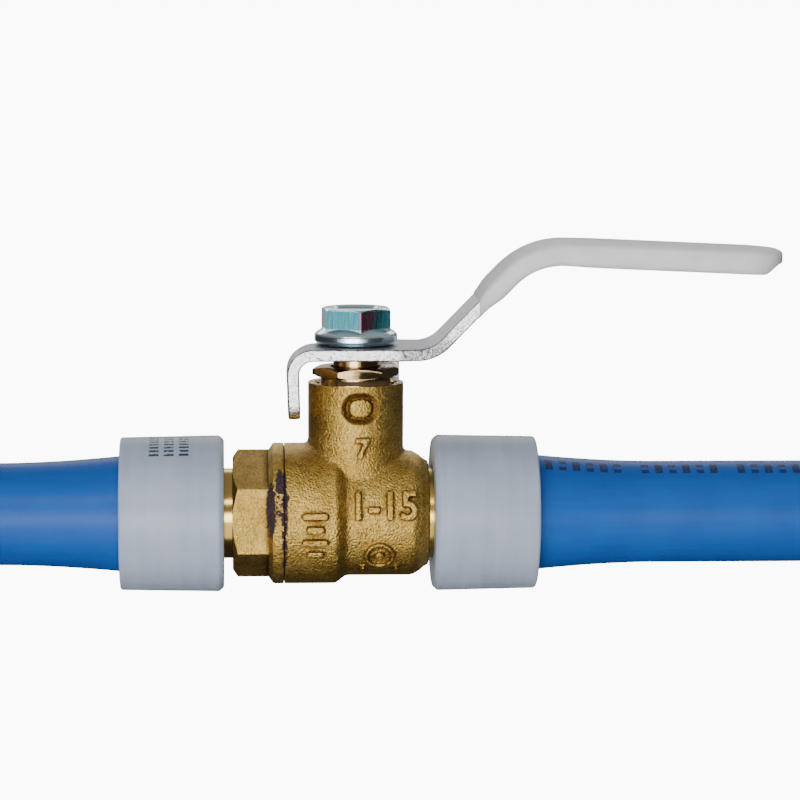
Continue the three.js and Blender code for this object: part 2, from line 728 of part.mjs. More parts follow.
function tubing() {
  const left = jointProfiles(-retainerFaceX, LEFT_RING_GAP, LEFT_TUBE_LENGTH);
  const right = jointProfiles(bodyEndX, RIGHT_RING_GAP, RIGHT_TUBE_LENGTH);
  return [
    meshOf("expansion_ring_left", turnedAlongX(mirrored(left.ring)), ringPlastic),
    meshOf("expansion_ring_right", turnedAlongX(right.ring), ringPlastic),
    meshOf("pipe_left", turnedAlongX(mirrored(left.tube)), tubePlastic),
    meshOf("pipe_right", turnedAlongX(right.tube), tubePlastic),
  ];
}

// ---- Assembly ----

const fixedPieces = new THREE.Group();
fixedPieces.add(valveBody(), endRetainer(), bodySeal(), ...seats(), ...stemRings());
fixedPieces.add(packingNut(), ...tubing());

const turningPieces = new THREE.Group();
turningPieces.add(ball(), stem(), lever(), leverGrip(), handleNut());

const group = new THREE.Group();
group.add(fixedPieces, turningPieces);

export default group;
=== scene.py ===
"""The looks of a quarter-turn brass ball valve, joined to tubing by expansion rings.

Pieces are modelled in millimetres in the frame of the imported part: the ball's centre at
the origin, +X along the tubing towards the lever's grip, +Z up the stem. Each finished
piece is scaled to metres and rides on its body.
"""

import math

import bmesh
import bpy
from mathutils import Matrix, Vector


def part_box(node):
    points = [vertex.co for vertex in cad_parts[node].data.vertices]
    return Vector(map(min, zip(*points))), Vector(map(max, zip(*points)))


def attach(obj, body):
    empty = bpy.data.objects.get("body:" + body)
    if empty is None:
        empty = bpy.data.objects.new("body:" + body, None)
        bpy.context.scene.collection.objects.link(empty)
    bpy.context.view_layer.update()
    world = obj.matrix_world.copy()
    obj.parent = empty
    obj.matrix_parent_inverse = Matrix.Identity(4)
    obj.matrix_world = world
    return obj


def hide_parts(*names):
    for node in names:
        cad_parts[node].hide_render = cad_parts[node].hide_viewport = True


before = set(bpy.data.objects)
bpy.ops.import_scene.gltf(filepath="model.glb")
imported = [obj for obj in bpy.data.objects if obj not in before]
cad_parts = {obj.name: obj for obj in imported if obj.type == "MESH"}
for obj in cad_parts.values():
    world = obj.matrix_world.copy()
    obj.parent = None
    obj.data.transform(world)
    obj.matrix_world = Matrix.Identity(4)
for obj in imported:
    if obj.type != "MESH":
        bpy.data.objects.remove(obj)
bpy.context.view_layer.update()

MM = 0.001
FIXED = "valve"
TURNING = "lever_and_ball"

# Fineness of the made surfaces
ROUND_STEPS = 128
FILLET_STEPS = 6
SHARP_EDGE = math.radians(33)


def span(node):
    """The lowest and highest corners of a CAD node, in millimetres."""
    low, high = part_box(node)
    return low / MM, high / MM


# ---- Sizes: from the frame where a box gives them, otherwise the part's own ----

body_low, body_high = span("valve_body")
retainer_low, retainer_high = span("end_retainer")
packing_nut_low, packing_nut_high = span("packing_nut")
lever_low, lever_high = span("lever")
grip_low, grip_high = span("lever_grip")
nut_low, nut_high = span("handle_nut")
stem_low, stem_high = span("stem")
ball_low, ball_high = span("ball")

PORT_RADIUS = 4.75
BARREL_RADIUS = -body_low.z
BARREL_LENGTH = 8.0
BARREL_SLOPE = 1.5
HUB_RADIUS = 9.75
HUB_END_LENGTH = 2.5
BARB_RADIUS = 7.0
BARB_LENGTH = 16.3
BARB_RIDGE = 0.35
SOCKET_RADIUS = 9.1
CHAMBER_RADIUS = 8.2
POCKET_RADIUS = 7.54
NECK_RADIUS = 7.43
NECK_THREAD_RADIUS = 6.15
PACKING_CHAMBER = 5.0
STEM_RADIUS = 3.5
STEM_TOP_RADIUS = 3.0
RETAINER_FLATS = 17.4
COLLAR_LENGTH = 1.6
COLLAR_SLOPE = 0.8
SHEET = 1.85
LEVER_WIDTH = 16.5
ARM_WIDTH = 12.8
ARM_CORNER = 4.9
GRIP_THICKNESS = 3.75
GRIP_WIDTH = 15.0
TUBE_RADIUS = 7.94
TUBE_BORE = 6.16

barrel_start = body_low.x
barrel_end = barrel_start + BARREL_LENGTH
hub_end_face = body_high.x - BARB_LENGTH
neck_top = body_high.z
retainer_face = retainer_low.x + BARB_LENGTH
collar_end = barrel_start - 0.1
hex_end = collar_end - COLLAR_LENGTH - COLLAR_SLOPE


# ---- Mesh tools ----


def cleaned(bm):
    """Merges doubles, drops slivers and turns every face outwards."""
    bmesh.ops.remove_doubles(bm, verts=bm.verts, dist=1e-4)
    bmesh.ops.dissolve_degenerate(bm, edges=bm.edges, dist=1e-5)
    bmesh.ops.recalc_face_normals(bm, faces=bm.faces)
    return bm


def softened(corners, steps=FILLET_STEPS):
    """A closed outline from (along, out, rounding) corners, each rounding drawn as an arc."""
    points = []
    for i, (along, out, rounding) in enumerate(corners):
        here = Vector((along, out))
        if not rounding:
            points.append(here)
            continue
        before = (Vector(corners[i - 1][:2]) - here).normalized()
        after = (Vector(corners[(i + 1) % len(corners)][:2]) - here).normalized()
        half = before.angle(after) / 2
        centre = here + (before + after).normalized() * rounding / math.sin(half)
        start = here + before * rounding / math.tan(half) - centre
        end = here + after * rounding / math.tan(half) - centre
        sweep = math.copysign(math.pi - 2 * half, start.x * end.y - start.y * end.x)
        for step in range(steps + 1):
            points.append(centre + Matrix.Rotation(sweep * step / steps, 2) @ start)
    return points


def turned(profile, axis="X", steps=ROUND_STEPS, closed=True):
    """A profile of (along, radius) points turned round an axis."""
    bm = bmesh.new()
    along_x = axis == "X"
    verts = [bm.verts.new((a, 0, r) if along_x else (r, 0, a)) for a, r in profile]
    ends = zip(verts, verts[1:] + verts[:1] if closed else verts[1:])
    edges = [bm.edges.new(pair) for pair in ends]
    direction = (1, 0, 0) if along_x else (0, 0, 1)
    bmesh.ops.spin(
        bm,
        geom=verts + edges,
        cent=(0, 0, 0),
        axis=direction,
        angle=math.tau,
        steps=steps,
        use_merge=True,
    )
    return cleaned(bm)


def working_object(bm):
    mesh = bpy.data.meshes.new("work")
    bm.to_mesh(mesh)
    bm.free()
    obj = bpy.data.objects.new("work", mesh)
    bpy.context.scene.collection.objects.link(obj)
    return obj


def shaped(bm, *modifiers):
    """The mesh after modifiers, each given as its type and its settings."""
    obj = working_object(bm)
    for kind, settings in modifiers:
        modifier = obj.modifiers.new(kind, kind)
        for name, value in settings.items():
            setattr(modifier, name, value)
    evaluated = obj.evaluated_get(bpy.context.evaluated_depsgraph_get())
    result = bmesh.new()
    result.from_mesh(evaluated.to_mesh())
    bpy.data.objects.remove(obj)
    return result


def combined(first, second, operation):
    """The union, difference or intersection of two closed meshes."""
    other = working_object(second)
    settings = {"operation": operation, "solver": "EXACT", "object": other}
    result = shaped(first, ("BOOLEAN", settings))
    bpy.data.objects.remove(other)
    return result


def gathered(*parts):
    """Several meshes in one, not joined to each other."""
    result = bmesh.new()
    for part in parts:
        mesh = bpy.data.meshes.new("work")
        part.to_mesh(mesh)
        part.free()
        result.from_mesh(mesh)
        bpy.data.meshes.remove(mesh)
    return result


def edged(bm, width, segments=2, angle=SHARP_EDGE):
    """Rounds every edge sharper than an angle."""
    edges = [e for e in bm.edges if e.is_manifold and e.calc_face_angle() > angle]
    bmesh.ops.bevel(
        bm,
        geom=edges,
        offset=width,
        segments=segments,
        profile=0.5,
        affect="EDGES",
        material=-1,
        clamp_overlap=True,
    )
    return bm


def block(low, high):
    """A box between two corners."""
    low, high = Vector(low), Vector(high)
    bm = bmesh.new()
    size = Matrix.Diagonal((high - low).to_4d())
    bmesh.ops.create_cube(bm, size=1, matrix=Matrix.Translation((low + high) / 2) @ size)
    return bm


def hexagon(flats, low, high, facing):
    """A hexagonal bar up Z, with one flat turned to face an angle."""
    bm = bmesh.new()
    radius = flats / math.sqrt(3)
    middle = Matrix.Translation((0, 0, (low + high) / 2))
    bmesh.ops.create_cone(
        bm,
        cap_ends=True,
        segments=6,
        radius1=radius,
        radius2=radius,
        depth=high - low,
        matrix=middle,
    )
    bm.normal_update()
    side = next(face.normal for face in bm.faces if abs(face.normal.z) < 0.5)
    turn = Matrix.Rotation(facing - math.atan2(side.y, side.x), 4, "Z")
    bmesh.ops.transform(bm, matrix=turn, verts=bm.verts)
    return bm


def filled(outline, depth, place=None):
    """A flat outline in the XY plane, thickened evenly to both sides of it."""
    bm = bmesh.new()
    face = bm.faces.new([bm.verts.new((x, y, -depth / 2)) for x, y in outline])
    grown = bmesh.ops.extrude_face_region(bm, geom=[face])
    raised = [g for g in grown["geom"] if isinstance(g, bmesh.types.BMVert)]
    bmesh.ops.translate(bm, vec=(0, 0, depth), verts=raised)
    if place is not None:
        bmesh.ops.transform(bm, matrix=place, verts=bm.verts)
    return cleaned(bm)


def sliced(bm, places, normal=(1, 0, 0)):
    """Cuts edges through a mesh where planes cross it, so that it can bend there."""
    for place in places:
        bmesh.ops.bisect_plane(
            bm,
            geom=bm.verts[:] + bm.edges[:] + bm.faces[:],
            plane_co=Vector(normal) * place,
            plane_no=normal,
            dist=1e-5,
        )
    return bm


def piece(name, bm, body, nodes, finish):
    """A finished piece in metres, riding on a body and standing for CAD nodes."""
    bmesh.ops.scale(bm, vec=(MM, MM, MM), verts=bm.verts)
    for face in bm.faces:
        face.smooth = True
    for edge in bm.edges:
        edge.smooth = edge.is_manifold and edge.calc_face_angle() < SHARP_EDGE
    mesh = bpy.data.meshes.new(name)
    bm.to_mesh(mesh)
    bm.free()
    mesh.materials.append(finish)
    obj = bpy.data.objects.new(name, mesh)
    bpy.context.scene.collection.objects.link(obj)
    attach(obj, body)
    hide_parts(*nodes)
    return obj


def evenly_lit(obj):
    """Keeps wide flat faces from picking up the shading of the rounded edges around them."""
    obj.modifiers.new("even faces", "WEIGHTED_NORMAL").keep_sharp = True
    return obj


# ---- Shader expressions ----


class Shade:
    """A socket of a material, so that an expression on it adds nodes."""

    def __init__(self, finish, socket):
        self.finish = finish
        self.socket = socket

    def maths(self, operation, *values, clamp=False):
        settings = {"operation": operation, "use_clamp": clamp}
        return self.finish.node("ShaderNodeMath", settings, dict(enumerate(values)))

    def __add__(self, other):
        return self.maths("ADD", self, other)

    def __sub__(self, other):
        return self.maths("SUBTRACT", self, other)

    def __rsub__(self, other):
        return self.maths("SUBTRACT", other, self)

    def __mul__(self, other):
        return self.maths("MULTIPLY", self, other)

    def __truediv__(self, other):
        return self.maths("DIVIDE", self, other)

    def __pow__(self, other):
        return self.maths("POWER", self, other)

    def __gt__(self, other):
        return self.maths("GREATER_THAN", self, other)

    def __lt__(self, other):
        return self.maths("LESS_THAN", self, other)

    def __abs__(self):
        return self.maths("ABSOLUTE", self)

    __radd__ = __add__
    __rmul__ = __mul__

    def fract(self):
        return self.maths("FRACT", self)

    def clamped(self):
        return self.maths("ADD", self, 0, clamp=True)

    def within(self, low, high):
        return (self > low) * (self < high)


class Graph:
    """A node tree in the making."""

    def __init__(self, tree):
        self.tree = tree

    def node(self, kind, settings, values, output=0):
        made = self.tree.nodes.new(kind)
        for name, value in settings.items():
            setattr(made, name, value)
        for name, value in values.items():
            self.set(made.inputs[name], value)
        return Shade(self, made.outputs[output])

    def set(self, socket, value):
        if isinstance(value, Shade):
            self.tree.links.new(value.socket, socket)
        else:
            socket.default_value = value

    def ramp(self, value, low, high):
        """0 where a value is below low, 1 above high, and even between."""
        values = {"Value": value, "From Min": low, "From Max": high}
        return self.node("ShaderNodeMapRange", {"clamp": True}, values)

    def mix(self, factor, first, second, blend="MIX"):
        settings = {"data_type": "RGBA", "blend_type": blend}
        return self.node("ShaderNodeMix", settings, {0: factor, 6: first, 7: second}, 2)


class Finish(Graph):
    """A material in the making: one shader, and the nodes that feed it."""

    def __init__(self, name, **constants):
        self.material = bpy.data.materials.new(name)
        self.material.use_nodes = True
        super().__init__(self.material.node_tree)
        self.shader = self.tree.nodes["Principled BSDF"]
        for key, value in constants.items():
            self.shader.inputs[key.replace("_", " ")].default_value = value

    def feed(self, **links):
        for key, value in links.items():
            self.set(self.shader.inputs[key.replace("_", " ")], value)
        return self.material

    def place(self):
        """The place on the object in millimetres, as a vector and its three parts."""
        raw = self.node("ShaderNodeTexCoord", {}, {}, "Object")
        scaled = self.node(
            "ShaderNodeVectorMath", {"operation": "SCALE"}, {0: raw, "Scale": 1 / MM}
        )
        parts = [
            self.node("ShaderNodeSeparateXYZ", {}, {0: scaled}, axis) for axis in "XYZ"
        ]
        return scaled, *parts

    def noise(self, place, size, detail=3.0, roughness=0.55, stretch=None):
        """A soft random pattern whose spots are about size millimetres across."""
        if stretch is not None:
            place = self.node(
                "ShaderNodeVectorMath", {"operation": "MULTIPLY"}, {0: place, 1: stretch}
            )
        values = {"Vector": place, "Scale": 1 / size, "Detail": detail, "Roughness": roughness}
        return self.node("ShaderNodeTexNoise", {}, values)

    def facing(self):
        """How far the surface faces along X, Y and Z, either way, from 0 to 1."""
        raw = self.node("ShaderNodeTexCoord", {}, {}, "Normal")
        return [abs(self.node("ShaderNodeSeparateXYZ", {}, {0: raw}, axis)) for axis in "XYZ"]

    def bump(self, height, depth, strength=1.0):
        values = {"Height": height, "Distance": depth * MM, "Strength": strength}
        return self.node("ShaderNodeBump", {}, values)

    def shelter(self, reach):
        """1 in the open and less in corners, within reach millimetres."""
        settings = {"samples": 8}
        return self.node("ShaderNodeAmbientOcclusion", settings, {"Distance": reach * MM}, 1)


def colour(red, green, blue):
    return (red, green, blue, 1.0)


# ---- Finishes ----

CAST_LIGHT = colour(0.66, 0.44, 0.110)
CAST_MID = colour(0.50, 0.31, 0.066)
# CAST_DARK is the grain's dark speckles and also the painted shade in corners and on the pocket's
# walls.
CAST_DARK = colour(0.10, 0.042, 0.008)
BRIGHT_BRASS = colour(0.88, 0.62, 0.15)
FACED_BRASS = colour(0.60, 0.40, 0.12)
RESIDUE = colour(0.030, 0.012, 0.020)


def cast_brass(name, machined_mask, residue_mask, pocket=None):
    """Sand-cast brass: a fine grain, painted shade darkening it in corners, with bright machined
    faces.
    """
    finish = Finish(name, Metallic=1.0)
    place, x, y, z = finish.place()
    grain = finish.noise(place, 0.32, detail=2, roughness=0.5)
    patches = finish.noise(place, 3.2, detail=3)
    tone = finish.mix(finish.ramp(patches, 0.35, 0.66), CAST_MID, CAST_LIGHT)
    speckled = finish.mix(finish.ramp(grain, 0.52, 0.34) * 0.42, tone, CAST_DARK)
    # Painted shade: the colour falls to CAST_DARK where the surface is closed in, in corners and
    # round the raised marks.
    corners = finish.ramp(finish.shelter(1.1), 0.52, 0.96)
    # Painted shade on the sloping walls of the neck's oval pocket.
    if pocket is not None:
        corners = corners * (1 - pocket(x, y, z))
    cast = finish.mix(corners, CAST_DARK, speckled)
    machined = machined_mask(x, y, z)
    whole = finish.mix(machined, cast, FACED_BRASS)
    rough = (0.29 + grain * 0.18) * (1 - machined) + machined * 0.2
    height = grain * (1 - machined)
    ragged = finish.noise(place, 0.7, detail=5, roughness=0.75)
    drift = finish.noise(place, 1.5, detail=4, roughness=0.7)
    residue = residue_mask(x + (ragged - 0.5) * 1.8, y, z + (drift - 0.5) * 5, ragged)
    whole = finish.mix(residue, whole, RESIDUE)
    rough = rough * (1 - residue) + residue * 0.42
    height = height + residue * ragged * 1.5
    return finish.feed(
        Base_Color=whole,
        Roughness=rough,
        Metallic=1 - residue,
        Normal=finish.bump(height, 0.24),
    )


def body_machined(x, y, z):
    """The neck's rim and bore, and the face that the retainer meets."""
    from_stem = (x * x + y * y) ** 0.5
    rim = z > neck_top - 0.04
    bore = (from_stem < NECK_THREAD_RADIUS + 0.15) * (z > 11)
    joint = x < barrel_start + 0.03
    return (rim + bore + joint).clamped()


POCKET_X = 0.5
POCKET_Z = 17.2


def pocket_wall_shade(x, y, z):
    """The sloping sides of the oval pocket in the neck, darkened with painted shade."""
    across = (x - POCKET_X) / 2.95
    rise = (z - POCKET_Z) / 2.45
    from_middle = (across * across + rise * rise) ** 0.5
    return (2.0 - abs(from_middle - 0.83) * 7.0).clamped() * (y < 0) * 0.84


def blot(along, up, centre, size):
    """1 inside an oval."""
    across = (along - centre[0]) / size[0]
    rise = (up - centre[1]) / size[1]
    return across * across + rise * rise < 1


def body_residue(x, y, z, ragged):
    """A thin broken line of dried sealant along the joint."""
    line = blot(x, z, (barrel_start, 0), (0.42, 7.5)) * (ragged > 0.44)
    return (y < 0) * (line + blot(x, z, (barrel_start, 3.9), (0.6, 0.8))).clamped()


def retainer_machined(x, y, z):
    """The barb, the hexagon's face round it, and everything inside."""
    from_axis = (y * y + z * z) ** 0.5
    barb = x < retainer_face - 0.02
    inside = (from_axis < POCKET_RADIUS + 0.1) * (x > retainer_face)
    return (barb + inside).clamped()


def retainer_residue(x, y, z, ragged):
    """Dried sealant squeezed out on the collar and into the groove behind the hexagon."""
    upper = blot(x, z, (hex_end + 1.75, 6.0), (0.75, 1.5))
    groove = blot(x, z, (hex_end + 0.35, 1.9), (0.72, 3.9))
    squiggle = blot(x, z, (hex_end + 1.9, 2.4), (0.75, 2.2)) * (ragged > 0.53)
    joint = blot(x, z, (collar_end, -1.0), (0.38, 7.0)) * (ragged > 0.47)
    return ((y < 0) * (upper + groove + squiggle + joint)).clamped()


def turned_brass(name, along, colour_of=BRIGHT_BRASS, roughness=0.17, shade_reach=0.8):
    """Bright brass with the fine rings that turning leaves, stained where dirt stays, and painted
    shade in corners.
    """
    finish = Finish(name, Metallic=1.0)
    place, x, y, z = finish.place()
    stretch = (9, 0.15, 0.15) if along == "X" else (0.15, 0.15, 9)
    rings = finish.noise(place, 1.6, detail=3, stretch=stretch)
    stain = finish.noise(place, 2.4, detail=4)
    dirt_and_shade = finish.mix(finish.ramp(stain, 0.45, 0.75) * 0.5, colour_of, CAST_MID)
    # Painted shade: darker towards CAST_DARK where the surface is closed in, within shade_reach
    # millimetres.
    dirt_and_shade = finish.mix(finish.ramp(finish.shelter(shade_reach), 0.15, 0.65), CAST_DARK, dirt_and_shade)
    return finish.feed(
        Base_Color=dirt_and_shade,
        Roughness=roughness + rings * 0.12 + finish.ramp(stain, 0.5, 0.8) * 0.12,
        Normal=finish.bump(rings, 0.012),
    )


def zinc_plate():
    """Clear zinc on sheet steel: faint spangle, rolling scratches, grain on the cut edges,
    painted shade on the flat faces and a painted highlight on the cut edges.
    """
    finish = Finish("zinc_plated_steel", Metallic=1.0)
    place, x, y, z = finish.place()
    cloud = finish.noise(place, 2.6, detail=4)
    scratch = finish.noise(place, 0.9, detail=4, stretch=(0.12, 2.6, 0.12))
    pits = finish.noise(place, 0.4, detail=3, roughness=0.7)
    torn = finish.noise(place, 0.42, detail=4, roughness=0.75, stretch=(0.7, 1, 1.1))
    _, across, flat = finish.facing()
    cut_edge = finish.ramp(across, 0.5, 0.9)
    base = finish.mix(
        finish.ramp(cloud, 0.3, 0.7), colour(0.62, 0.62, 0.65), colour(0.82, 0.82, 0.84)
    )
    # Painted shade: faces that face up or down, the lever's top among them, are darkened.
    base = finish.mix(finish.ramp(flat, 0.75, 0.97) * 0.9, base, colour(0.27, 0.27, 0.31))
    # Painted highlight: the cut edges are made nearly white.
    base = finish.mix(cut_edge, base, colour(0.95, 0.94, 0.95))
    # A ragged dark line along the rounding between the faces and the cut edges.
    edge_rounding_line = finish.ramp(across, 0.3, 0.55) * (1 - finish.ramp(across, 0.86, 0.98))
    marks = finish.ramp(pits, 0.42, 0.34) * 0.4 + finish.ramp(torn, 0.46, 0.38) * cut_edge
    marks = marks + finish.ramp(torn, 0.60, 0.45) * edge_rounding_line
    # Pits, torn grain and the dark line over a base that carries the painted shade and highlight.
    worn = finish.mix(marks.clamped() * 0.85, base, colour(0.13, 0.13, 0.15))
    return finish.feed(
        Base_Color=worn,
        Roughness=0.22 + scratch * 0.14 + pits * 0.1 - cut_edge * 0.07,
        Normal=finish.bump(scratch * 0.2 + pits * 0.25 + cut_edge * torn * 1.2, 0.09),
    )


def blue_zinc():
    """Blue zinc: a bright film that drifts from cyan to violet, with a painted highlight on the
    flange and the top rim.
    """
    finish = Finish("blue_zinc_steel", Metallic=1.0)
    place, x, y, z = finish.place()
    drift = finish.noise(place, 5.0, detail=2)
    streaks = finish.noise(place, 0.7, detail=4, stretch=(1.5, 1.5, 0.35))
    violet = (x + drift * 2.0).within(1.4, 3.6) * z.within(nut_low.z + 2.7, nut_high.z - 0.4)
    film = finish.mix(violet * 0.85, colour(0.09, 0.42, 0.51), colour(0.80, 0.25, 0.42))
    # Painted highlight: the flange and the top rim are paled towards white.
    painted_highlight = (z < nut_low.z + 2.65) * (0.62 + drift * 0.4) + (z > nut_high.z - 0.3) * 0.8
    film = finish.mix(painted_highlight.clamped(), film, colour(0.80, 0.94, 1.0))
    film_streaks_and_highlight = finish.mix(finish.ramp(streaks, 0.5, 0.8) * 0.4, film, colour(0.60, 0.72, 0.76))
    return finish.feed(
        Base_Color=film_streaks_and_highlight,
        Roughness=0.14 + streaks * 0.14,
        Normal=finish.bump(streaks, 0.02),
    )


def angle_above_front(finish, y, z):
    """The angle round the tubing's axis, 0 at the front and 90 at the top, in degrees."""
    return finish.node("ShaderNodeMath", {"operation": "ARCTAN2"}, {0: z, 1: y * -1}) * (
        180 / math.pi
    )


INK = colour(0.010, 0.016, 0.060)


def ring_plastic():
    """Milky, slightly see-through plastic with faint turned bands and small ink ticks."""
    finish = Finish(
        "ring_plastic",
        Subsurface_Weight=0.35,
        Subsurface_Scale=0.002,
        Subsurface_Radius=(0.9, 1.0, 1.1),
        IOR=1.5,
        Specular_IOR_Level=0.4,
    )
    place, x, y, z = finish.place()
    cloud = finish.noise(place, 6.0, detail=3)
    bands = finish.noise(place, 2.0, detail=2, stretch=(1.2, 0.08, 0.08))
    base = finish.mix(
        finish.ramp(cloud * 0.5 + bands * 0.5, 0.35, 0.65),
        colour(0.345, 0.408, 0.515),
        colour(0.42, 0.478, 0.585),
    )
    round_angle = angle_above_front(finish, y, z)
    column = ((x + 32.3) / 2.3).fract().within(0.15, 0.80) * x.within(-32.3, -25.4)
    row = (round_angle / 4.6).fract().within(0.14, 0.7) * round_angle.within(54, 91)
    ragged = finish.noise(place, 0.5, detail=2) > 0.38
    inked = finish.mix(column * row * ragged * 0.96, base, INK)
    return finish.feed(
        Base_Color=inked,
        Roughness=0.33 + cloud * 0.12,
        Normal=finish.bump(bands + cloud * 0.5, 0.04),
    )


def tube_plastic():
    """Blue extruded tubing: faint lengthwise draw lines and a line of ink ticks on top."""
    finish = Finish("tube_plastic", Specular_IOR_Level=0.24, Coat_Roughness=0.25)
    place, x, y, z = finish.place()
    cloud = finish.noise(place, 7.0, detail=3)
    lines = finish.noise(place, 1.2, detail=4, stretch=(0.05, 1.6, 1.6))
    base = finish.mix(
        finish.ramp(cloud * 0.6 + lines * 0.4, 0.35, 0.65),
        colour(0.002, 0.078, 0.36),
        colour(0.003, 0.096, 0.42),
    )
    round_angle = angle_above_front(finish, y, z)
    tick = ((x - 29) / 2.15).fract().within(0.12, 0.66)
    word = ((x - 29) / 15.0).fract().within(0.0, 0.82) * (x > 29)
    stroke = round_angle.within(57, 75) * (1 - round_angle.within(63, 68) * (
        ((x - 29) / 4.3).fract() > 0.5
    ))
    worn = finish.noise(place, 0.45, detail=2) > 0.36
    inked = finish.mix(tick * word * stroke * worn * 0.9, base, INK)
    return finish.feed(
        Base_Color=inked,
        Roughness=0.36 + cloud * 0.12 + lines * 0.08,
        Coat_Weight=cloud * 0.12,
        Normal=finish.bump(lines + cloud * 0.4, 0.03),
    )


def grip_vinyl():
    """Dipped vinyl: a soft satin white, a little uneven, with scuffs."""
    finish = Finish(
        "grip_vinyl",
        Subsurface_Weight=0.8,
        Subsurface_Scale=0.006,
        Subsurface_Radius=(1.0, 1.0, 1.0),
        IOR=1.5,
    )
    place, x, y, z = finish.place()
    cloud = finish.noise(place, 5.0, detail=4)
    fine = finish.noise(place, 0.5, detail=3)
    scuff = finish.noise(place, 1.4, detail=5, stretch=(0.25, 1.2, 1.2))
    base = finish.mix(
        finish.ramp(cloud, 0.35, 0.65), colour(0.76, 0.765, 0.775), colour(0.86, 0.86, 0.86)
    )
    soiled = finish.mix(finish.ramp(scuff, 0.62, 0.8) * 0.35, base, colour(0.42, 0.43, 0.44))
    return finish.feed(
        Base_Color=soiled,
        Roughness=0.36 + cloud * 0.16,
        Normal=finish.bump(fine * 0.35 + cloud, 0.06),
    )


def plain(name, base, second, size, roughness, metallic=0.0):
    """A quiet two-tone finish for the pieces inside the valve."""
    finish = Finish(name, Metallic=metallic)
    place, x, y, z = finish.place()
    cloud = finish.noise(place, size, detail=3)
    return finish.feed(
        Base_Color=finish.mix(finish.ramp(cloud, 0.35, 0.65), base, second),
        Roughness=roughness + cloud * 0.1,
        Normal=finish.bump(cloud, 0.01),
    )


# ---- Cast body ----


def barb_profile(root):
    """A barb's outside from its root outwards along +X, with ridges facing the root."""
    pitch = (BARB_LENGTH - 0.8) / 4
    points = [(root, BARB_RADIUS)]
    for ridge in (1, 2, 3):
        start = root + ridge * pitch
        points += [(start - 0.05, BARB_RADIUS), (start, BARB_RADIUS + BARB_RIDGE * 0.8)]
        points += [(start + 0.15, BARB_RADIUS + BARB_RIDGE), (start + 2.6, BARB_RADIUS)]
    return points + [(root + BARB_LENGTH - 0.8, BARB_RADIUS), (root + BARB_LENGTH, 6.6)]


def wrapped(bm, radius, axis, along=0.0, around=0.0):
    """Lays a flat mark on the front of a cylinder. Its X and Y run across and up."""
    for vert in bm.verts:
        across, up, out = vert.co
        if axis == "X":
            angle = (up + around) / radius
            reach = radius + out
            vert.co = (along + across, -reach * math.cos(angle), reach * math.sin(angle))
        else:
            angle = (across + around) / radius
            reach = radius + out
            vert.co = (reach * math.sin(angle), -reach * math.cos(angle), along + up)
    return bm


def numeral(text, size, stroke, depth):
    """Raised numerals, centred on the origin."""
    curve = bpy.data.curves.new("numeral", "FONT")
    curve.body = text
    curve.size = size
    curve.offset = stroke
    curve.extrude = depth
    curve.align_x = "CENTER"
    curve.align_y = "CENTER"
    obj = bpy.data.objects.new("numeral", curve)
    bpy.context.scene.collection.objects.link(obj)
    bpy.context.view_layer.update()
    bm = bmesh.new()
    bm.from_mesh(obj.evaluated_get(bpy.context.evaluated_depsgraph_get()).to_mesh())
    bpy.data.objects.remove(obj)
    return cleaned(bm)


def rounded_box(width, height, corner):
    """The outline of a box with round corners, centred on the origin."""
    w, h = width / 2, height / 2
    return softened([(-w, -h, corner), (w, -h, corner), (w, h, corner), (-w, h, corner)])


MARK_HEIGHT = 0.62
SLICE = 0.5


def steps_across(size):
    count = int(size / SLICE)
    return [(i - count / 2) * SLICE for i in range(count + 1)]


def body_marks():
    """Raised foundry marks: a size number, bars, a ring with a dot, a mould number, a pad."""
    up = (0, 1, 0)
    depth = 2 * MARK_HEIGHT
    size = wrapped(
        sliced(numeral("1-15", 5.9, 0.15, MARK_HEIGHT), steps_across(6), up),
        HUB_RADIUS, "X", along=4.0, around=2.3,
    )
    bars = []
    for around, width in ((1.1, 3.9), (-0.9, 2.6), (-2.9, 3.9), (-4.9, 2.6)):
        bar = filled(rounded_box(width, 0.95, 0.4), 1.2 * depth)
        bars.append(wrapped(bar, BARREL_RADIUS, "X", -6.5, around))
    ring = turned([(-MARK_HEIGHT, 1.75), (-MARK_HEIGHT, 2.35), (MARK_HEIGHT, 2.3),
                   (MARK_HEIGHT, 1.8)], "Z", 40)
    ring = wrapped(sliced(ring, steps_across(5), up), HUB_RADIUS, "X", along=3.4, around=-5.6)
    dot = turned([(-MARK_HEIGHT, 0), (-MARK_HEIGHT, 0.75), (MARK_HEIGHT, 0.7),
                  (MARK_HEIGHT, 0)], "Z", 24, closed=False)
    dot = wrapped(dot, HUB_RADIUS, "X", along=3.4, around=-5.6)
    ticks = [
        wrapped(filled(rounded_box(0.6, 1.3, 0.25), depth), HUB_RADIUS, "X", along, around=-8.6)
        for along in (0.9, 6.0)
    ]
    mould = wrapped(numeral("7", 4.2, 0.13, MARK_HEIGHT), NECK_RADIUS, "Z", along=10.9,
                    around=0.75)
    pad = filled(rounded_box(3.4, 2.6, 1.15), 0.8)
    pad = wrapped(sliced(pad, steps_across(4)), NECK_RADIUS - 0.72, "Z", POCKET_Z, POCKET_X)
    return gathered(size, *bars, ring, dot, *ticks, mould, pad)


def neck_recess():
    """A shallow oval pocket in the front of the neck, with sloping sides."""
    outline = rounded_box(5.8, 4.8, 2.1)
    depth = 0.85
    bm = sliced(filled(outline, 2 * depth), steps_across(8))
    for vert in bm.verts:
        vert.co.x *= 1 + vert.co.z / depth * 0.32
        vert.co.y *= 1 + vert.co.z / depth * 0.42
    return wrapped(bm, NECK_RADIUS, "Z", along=POCKET_Z, around=POCKET_X)


